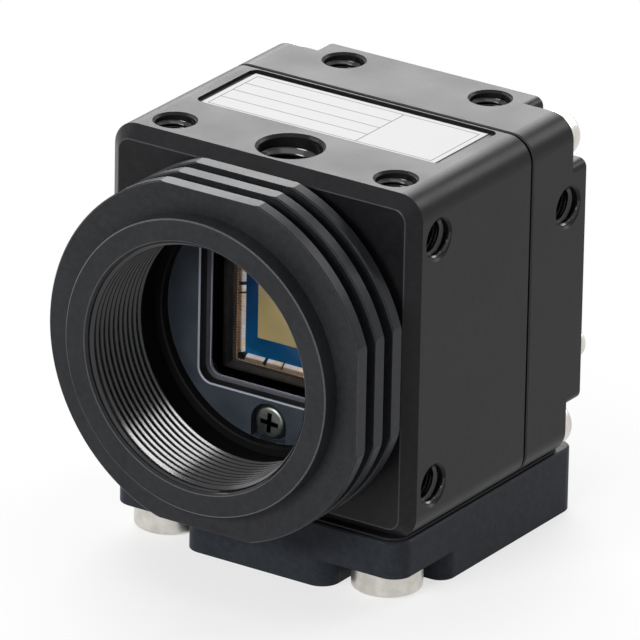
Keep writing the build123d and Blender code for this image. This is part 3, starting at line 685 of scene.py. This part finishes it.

# %% [markdown]
# Real bond wires are finer than a pixel of the picture, and what is seen of them is their glint. These are
# drawn thicker, so that they show, and a pale, almost white matt gold is a painted glint that shows from all
# sides. A mask darkens it towards the gold fingers.

# %% Bond wire
painted_glint_wire = Graph("bond_wire", Roughness=0.4)
x, y, z = painted_glint_wire.axes()
# Painted glint: the pale, almost white tone of the wires.
tone = painted_glint_wire.mix(painted_glint_wire.ramp(painted_glint_wire.noise(0.9, 2.0), 0.35, 0.65), (0.95, 0.76, 0.52), (0.95, 0.93, 0.95))
outer = painted_glint_wire.ramp(painted_glint_wire.from_outline(x, z, pocket_x, pocket_z, 1.0), -0.42, -0.26)
painted_glint_wire.set(Base_Color=painted_glint_wire.mix(outer, tone, (0.20, 0.10, 0.045)))
wire_painted_glint = painted_glint_wire.material

# %% [markdown]
# The small screws inside the lens bay are zinc plated and passivated grey-green, duller than the outer ones.
# A mask below the crown paints the cross recess dark, as painted shade.

# %% Plated inner screws
# Painted shade in the cross recess of the plate screws.
def screw_pit_shade(graph):
    """1 behind the crown and near the axis of a plate screw."""
    x, y, z = graph.axes()
    from_axis = graph.radius(x, abs(z) - plate_screw_z)
    crown_y, pit_reach = 13.28, 1.05
    near_axis = graph.ramp(from_axis, pit_reach, pit_reach + 0.05, 1.0, 0.0)
    return near_axis * graph.ramp(y, crown_y, crown_y + 0.08)


materials["grey_steel"] = bright("grey_steel", (0.26, 0.28, 0.25), (0.18, 0.195, 0.19), 0.38, pit=screw_pit_shade)

# %% [markdown]
# Plastics, rubber, ceramic and the boards scatter light inside, so they are written as plain colours with
# a fine texture and a low gloss.

# %% Plastics, rubber, ceramic and boards
def matt(name, dark, pale, rough, size, grain):
    """Dull surface whose texture has features of this size, in mm."""
    graph = Graph(name)
    fine, cloud = graph.noise(size, 3.0, 0.6), graph.noise(size * 20, 2.0)
    graph.set(
        Base_Color=graph.mix(graph.ramp(fine * 0.6 + cloud * 0.4, 0.35, 0.65), dark, pale),
        Roughness=graph.ramp(cloud, 0.3, 0.7, rough - 0.05, rough + 0.05),
        Normal=graph.bump(fine, grain),
    )
    return graph.material


for name, dark, pale, rough, size, grain in (
    ("black_rubber", (0.004, 0.004, 0.004), (0.008, 0.008, 0.008), 0.6, 0.1, 0.006),
    ("black_sheet", (0.004, 0.004, 0.004), (0.008, 0.008, 0.008), 0.6, 0.2, 0.004),
    ("package_ceramic", (0.004, 0.003, 0.004), (0.075, 0.070, 0.066), 0.55, 0.16, 0.03),
    ("circuit_board", (0.010, 0.045, 0.020), (0.016, 0.065, 0.028), 0.4, 0.3, 0.004),
    ("black_plastic", (0.012, 0.012, 0.013), (0.020, 0.020, 0.021), 0.45, 0.2, 0.004),
):
    materials[name] = matt(name, dark, pale, rough, size, grain)

# %% [markdown]
# The plate behind the mount is painted blue-grey. Its window is cut through. A pale line along the window's
# edge is a painted highlight, and the wall of the cut is painted black as painted shade, except where the
# glass sits, where it is pale grey.

# %% Painted plate
plate = Graph("blued_plate", IOR=1.4)
x, y, z = plate.axes()
window_half_x, window_half_z, window_corner = 8.3, 7.6, 1.5
plate_front_y, glass_ledge_y = 13.3, 14.25
fine, cloud = plate.noise(0.12, 3.0, 0.6), plate.noise(3.0, 2.0)
grain = plate.ramp(fine * 0.6 + cloud * 0.4, 0.35, 0.65)
paint = plate.mix(grain, (0.022, 0.028, 0.037), (0.036, 0.045, 0.057))
outside = plate.from_outline(x, z, window_half_x, window_half_z, window_corner)
in_cut = plate.ramp(outside, 0.02, 0.05, 1.0, 0.0)
# Painted highlight: a pale line along the window's edge.
window_edge_highlight = plate.line(outside, 0.1, 0.12) * plate.ramp(y, plate_front_y, plate_front_y + 0.05, 1.0, 0.0)
# Painted shade: the wall of the cut is black up to the glass ledge.
wall = plate.mix(plate.ramp(y, glass_ledge_y, glass_ledge_y + 0.1), bay_black, (0.14, 0.14, 0.16))
plate.set(
    Base_Color=plate.mix(window_edge_highlight, plate.mix(in_cut, paint, wall), (0.32, 0.34, 0.40)),
    Roughness=plate.ramp(cloud, 0.3, 0.7, 0.40, 0.50),
    Normal=plate.bump(fine, 0.004),
)
materials["blued_plate"] = plate.material

# %% [markdown]
# The bond strip is a row of gold fingers on dark ceramic, one every 0.28 mm. A folded coordinate repeats
# them, which is lighter than so many small solids.

# %% Bond fingers
fingers = Graph("bond_fingers", Roughness=0.35)
x, y, z = fingers.axes()
half_pitch = 0.14
on_column = fingers.ramp(abs(x), pocket_x - 0.02, pocket_x)
along = x * (1 - on_column) + z * on_column
in_finger = fingers.ramp(along.combine("PINGPONG", along, half_pitch), 0.05, 0.08)
near_pocket = fingers.ramp(fingers.from_outline(x, z, pocket_x, pocket_z, 0.0), 0.10, 0.16, 1.0, 0.0)
gold = in_finger * near_pocket
fingers.set(
    Base_Color=fingers.mix(gold, (0.03, 0.022, 0.016), (0.92, 0.66, 0.34)),
    Metallic=gold,
)
finger_finish = fingers.material

# %% [markdown]
# The die is silicon under thin oxide layers, which show deep blue. Its middle is the light-sensitive array,
# whose colour is olive brown. A border of paler streaks hints at the circuits beside the array. The blue is
# painted paler towards the bottom and darker towards the top, as a painted reflection.

# %% Silicon die
die = Graph("die_blue", IOR=1.5, Roughness=0.22)
x, y, z = die.axes()
beside = die.noise(0.5, 2.0, 0.5, stretch=(1, 1, 6)) * die.ramp(abs(x), 4.6, 5.6)
above = die.noise(0.5, 2.0, 0.5, stretch=(6, 1, 1)) * die.ramp(abs(z), 4.0, 5.4)
tracks = beside + above
# Painted reflection: the lower side of the die is paler than the upper side.
painted_lit_low_side = die.mix(die.ramp(tracks, 0.3, 1.0), (0.002, 0.046, 0.125), (0.004, 0.080, 0.19))
painted_shaded_high_side = die.mix(die.ramp(tracks, 0.3, 1.0), (0.004, 0.028, 0.085), (0.006, 0.048, 0.13))
die.set(Base_Color=die.mix(die.ramp(z, -4.6, 1.0), painted_lit_low_side, painted_shaded_high_side))
materials["die_blue"] = die.material

array = Graph("array_olive", IOR=1.5, Roughness=0.3)
cells = array.noise(0.15, 2.0)
tint = array.noise(5.0, 1.0)
shade = array.ramp(cells * 0.3 + tint * 0.7, 0.3, 0.7)
array.set(Base_Color=array.mix(shade, (0.28, 0.205, 0.075), (0.36, 0.275, 0.115)))
materials["array_olive"] = array.material

# %% [markdown]
# The label is white foil with empty ruled fields, as a blank label has before it is used. The rules are
# thin lines at fixed places, so a mask draws them, and they stay sharp at any distance.

# %% White label with empty fields
label = Graph("white_label", IOR=1.15)
x, y, z = label.axes()
label_middle_x, label_middle_y = -0.275, 25.75
half_width, half_length = 13.1, 4.35
line_width, border = 0.1, 0.05
divider_x, row_height = 4.0, 2.15
across, along = abs(x - label_middle_x), abs(y - label_middle_y)
within_width = label.ramp(across, half_width, half_width + 0.03, 1.0, 0.0)
within_length = label.ramp(along, half_length, half_length + 0.03, 1.0, 0.0)
left_part = label.ramp(x, divider_x, divider_x + 0.03, 1.0, 0.0)
frame_lines = (
    label.line(across, half_width - border, line_width)
    | label.line(along, half_length - border, line_width)
    | label.line(x, divider_x, line_width)
)
row_lines = label.line(y, label_middle_y, line_width) | label.line(along, row_height, line_width)
ruled = (frame_lines | row_lines * left_part) * (within_width & within_length)
foil = label.noise(0.4, 2.0)
paper = label.mix(foil, (0.62, 0.62, 0.62), (0.66, 0.66, 0.66))
label.set(
    Base_Color=label.mix(ruled * 0.75, paper, (0.10, 0.10, 0.11)),
    Roughness=label.ramp(foil, 0.3, 0.7, 0.50, 0.60),
    Normal=label.bump(foil, 0.002),
)
materials["white_label"] = label.material

# %% [markdown]
# The protective glass is clear, with a coating that takes most of its reflection away. Its ground bevel
# scatters light, so it shows as a pale grey rim. One mask tells the two apart by the distance from the rim.
# Two pale lines along the bevel's edges are painted highlights.

# %% Glass
glass = Graph("clear_glass", Base_Color=(0.95, 0.97, 1.0, 1.0), IOR=1.2, Transmission_Weight=1.0)
x, y, z = glass.axes()
glass_half_x, glass_half_z, glass_corner = 8.22, 7.52, 1.42
to_rim = glass.from_outline(x, z, glass_half_x, glass_half_z, glass_corner)
rim = glass.ramp(to_rim, -0.40, -0.34)
glass.set(Roughness=glass.ramp(glass.noise(3.0), 0.3, 0.7, 0.0, 0.02))
# Painted highlights: two pale lines along the bevel's edges.
bevel_highlight_lines = glass.line(to_rim, -0.02, 0.10) | glass.line(to_rim, -0.33, 0.10)
rim_colour = glass.mix(bevel_highlight_lines, (0.10, 0.105, 0.13), (0.50, 0.51, 0.58))
ground_rim = glass.node(
    "ShaderNodeBsdfPrincipled", inputs={"Base Color": rim_colour, "Roughness": 0.5, "IOR": 1.4}
)
surface = glass.node("ShaderNodeMixShader", inputs={0: rim, 2: ground_rim})
glass.tree.links.new(glass.shader.outputs[0], surface.socket.node.inputs[1])
glass.tree.links.new(surface.socket, glass.tree.nodes["Material Output"].inputs["Surface"])
materials["clear_glass"] = glass.material

# %% [markdown]
# Each node takes the finish that the record gives its slot, or its own variant of that finish. A loop over
# the record does it, so that no node is forgotten.

# %% Finishes on the nodes
own_finish = {
    "lens_mount": mount_finish, "front_housing": housing_finish, "rear_cover": cover_finish,
    "bond_strips": finger_finish,
}
for part in frame["record"]["subparts"]:
    finish = own_finish.get(part["node"], materials[part["material_slot"]])
    node = nodes[part["node"]]
    node.data.materials.clear()
    node.data.materials.append(finish)
    print(node.name, "in", finish.name)
for piece, finish in (
    (lens_thread, thread_finish), (hole_threads, thread_finish), (base_threads, thread_finish),
    (jack_threads, materials["bright_steel"]), (cover_pan_screws, materials["bright_steel"]),
    (plate_pan_screws, materials["grey_steel"]), (bond_wires, wire_painted_glint),
):
    piece.data.materials.append(finish)

# %% [markdown]
# The camera stands in front, to the right and above, far off with a long lens, as in the photograph.
# Its place was worked out from corners and circles of a known size. The focal length and the lens axis are
# in pixels of the square picture, and become millimetres of sensor and a small shift.

# %% Camera
picture_px, focal_px, axis_px = 640, 11114.8, (318.86, 321.49)
yaw, pitch, roll = (math.radians(angle) for angle in (33.4134, -22.5081, 1.1214))
ahead = np.array([-math.sin(yaw) * math.cos(pitch), math.cos(yaw) * math.cos(pitch), math.sin(pitch)])
level = np.array([math.cos(yaw), math.sin(yaw), 0.0])
upward = np.cross(level, ahead)
right_way = level * math.cos(roll) + upward * math.sin(roll)
up_way = upward * math.cos(roll) - level * math.sin(roll)
camera = bpy.data.objects.new("camera", bpy.data.cameras.new("camera"))
bpy.context.scene.collection.objects.link(camera)
placement = np.eye(4)
placement[:3, 0], placement[:3, 1], placement[:3, 2] = right_way, up_way, -ahead
placement[:3, 3] = np.array([554.24, -818.42, 414.78]) * mm
camera.matrix_world = Matrix(placement.tolist())
camera.data.sensor_width = 36.0
camera.data.lens = focal_px / picture_px * camera.data.sensor_width
camera.data.shift_x = 0.5 - axis_px[0] / picture_px
camera.data.shift_y = axis_px[1] / picture_px - 0.5
camera.data.clip_start, camera.data.clip_end = 0.01, 20
bpy.context.scene.camera = camera
bpy.context.scene.view_settings.view_transform = "Standard"
print("camera lens", round(camera.data.lens, 1), "mm")

# %% [markdown]
# The floor is a pale sheet that fades to plain white away from the object, and keeps its shadow.
# The fade is on rays that see the backdrop only, so it adds no scattered light to the object. The floor
# lies a hair under the base, so that the two never share a plane.

# %% Floor
floor_rows, floor_reach, floor_gap = 9, 2.0, 0.03 * mm
span = np.linspace(-floor_reach, floor_reach, floor_rows)
floor_x, floor_y = np.meshgrid(span, span)
floor_z = np.full_like(floor_x, cad_bounds[0][2] - floor_gap)
floor_points = np.stack([floor_x, floor_y, floor_z], -1).reshape(-1, 3)
floor_mesh = bpy.data.meshes.new("floor")
floor_mesh.from_pydata(floor_points.tolist(), [], grid_quads(floor_rows, floor_rows, closed=False).tolist())
floor = bpy.data.objects.new("floor", floor_mesh)
bpy.context.scene.collection.objects.link(floor)
ground = Graph("floor_white", Base_Color=(0.85, 0.85, 0.85, 1.0), Roughness=0.8)
x, y, z = ground.axes()
middle_y, fade_start, fade_end = 20.0, 22.0, 60.0
distance = ground.radius(x, y - middle_y)
whiteness = ground.ramp(distance, fade_start, fade_end, 0.65, 1.0) * ground.backdrop_rays()
white = ground.node("ShaderNodeEmission", inputs={"Color": (1, 1, 1, 1), "Strength": 1.0})
blended = ground.node("ShaderNodeMixShader", inputs={0: whiteness, 2: white})
ground.tree.links.new(ground.shader.outputs[0], blended.socket.node.inputs[1])
ground.tree.links.new(blended.socket, ground.tree.nodes["Material Output"].inputs["Surface"])
floor_mesh.materials.append(ground.material)
print("floor at", round(float(floor_z[0, 0]) / mm, 2), "mm, white beyond", fade_end, "mm")

# %% [markdown]
# The surroundings are plain white to the camera, and to any gloss or glass that mirrors them. To scattered
# light they are dimmer, so that the lamps shape the object.

# %% Surroundings
scattered, seen = 0.3, 1.0
world = bpy.data.worlds.new("studio")
bpy.context.scene.world = world
world.use_nodes = True
sky = Nodes(world.node_tree)
background = world.node_tree.nodes["Background"]
background.inputs["Color"].default_value = (1, 1, 1, 1)
sky.connect(background.inputs["Strength"], scattered + (seen - scattered) * sky.backdrop_rays())
print("world strength", scattered, "for scattered light and", seen, "as seen")

# %% [markdown]
# A large soft panel behind and above gives the top faces their pale sheen, and one overhead fills in.
# A small one in front draws the bright lines on edges and threads and looks into the bay. Two weak ones,
# at the left and at the back on the right, show the round rims.

# %% Lamps
def lamp(name, place, width, height, power, target=(0, 0.02, 0)):
    """A rectangular lamp that faces its target, with its width level."""
    data = bpy.data.lights.new(name, "AREA")
    data.shape, data.size, data.size_y, data.energy = "RECTANGLE", width, height, power
    thing = bpy.data.objects.new(name, data)
    bpy.context.scene.collection.objects.link(thing)
    place, target = np.array(place, float), np.array(target, float)
    back = (place - target) / np.linalg.norm(place - target)
    over = np.cross((0.0, 0.0, 1.0) if abs(back[2]) < 0.99 else (0.0, 1.0, 0.0), back)
    over /= np.linalg.norm(over)
    matrix = np.eye(4)
    matrix[:3, 0], matrix[:3, 1], matrix[:3, 2], matrix[:3, 3] = over, np.cross(back, over), back, place
    thing.matrix_world = Matrix(matrix.tolist())
    thing.visible_camera = False
    print("lamp", name, "power", power)


lamp("back_panel", (-0.75, 1.15, 0.62), 1.2, 0.8, 15.7)
lamp("top_panel", (0.0, 0.05, 1.2), 0.8, 0.8, 3)
lamp("front_panel", (-0.1, -1.06, 0.5), 0.6, 0.26, 10.5)
lamp("left_panel", (-1.1, -0.5, 0.4), 0.5, 0.9, 3)
lamp("right_panel", (0.5, 1.0, 0.66), 0.5, 0.5, 4)
